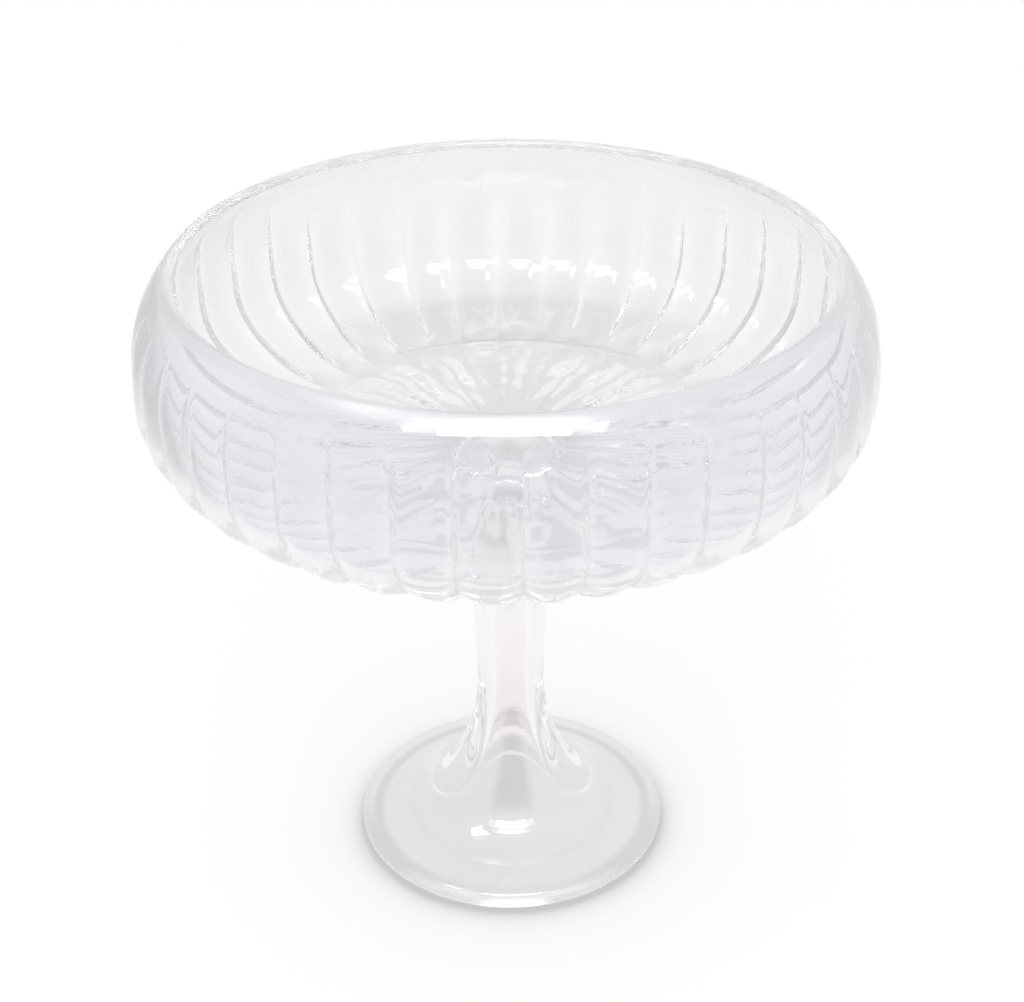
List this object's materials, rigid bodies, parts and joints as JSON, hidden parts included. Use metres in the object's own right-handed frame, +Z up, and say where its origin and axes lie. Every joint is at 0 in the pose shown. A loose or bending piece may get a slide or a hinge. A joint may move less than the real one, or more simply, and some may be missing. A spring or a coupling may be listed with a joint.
{
  "type": "footed salad bowl",
  "caption": "Wide clear glass salad bowl with a lobed lower wall and a rounded rim, joined by a glass wafer to a hollow pedestal with a flared round foot.",
  "frame": {"origin": "middle of the flat ring that the foot rests on", "axes": "+Z up along the axis of bowl and pedestal, front towards -Y"},
  "size_m": [0.25, 0.25, 0.232],
  "materials": {
    "bowl_glass": "clear polished glass with a faint cool tint",
    "pedestal_glass": "clear polished glass, neutral"
  },
  "bodies": {
    "root": {"bowl": "bowl_glass", "joining_wafer": "pedestal_glass", "pedestal": "pedestal_glass"}
  },
  "joints": []
}
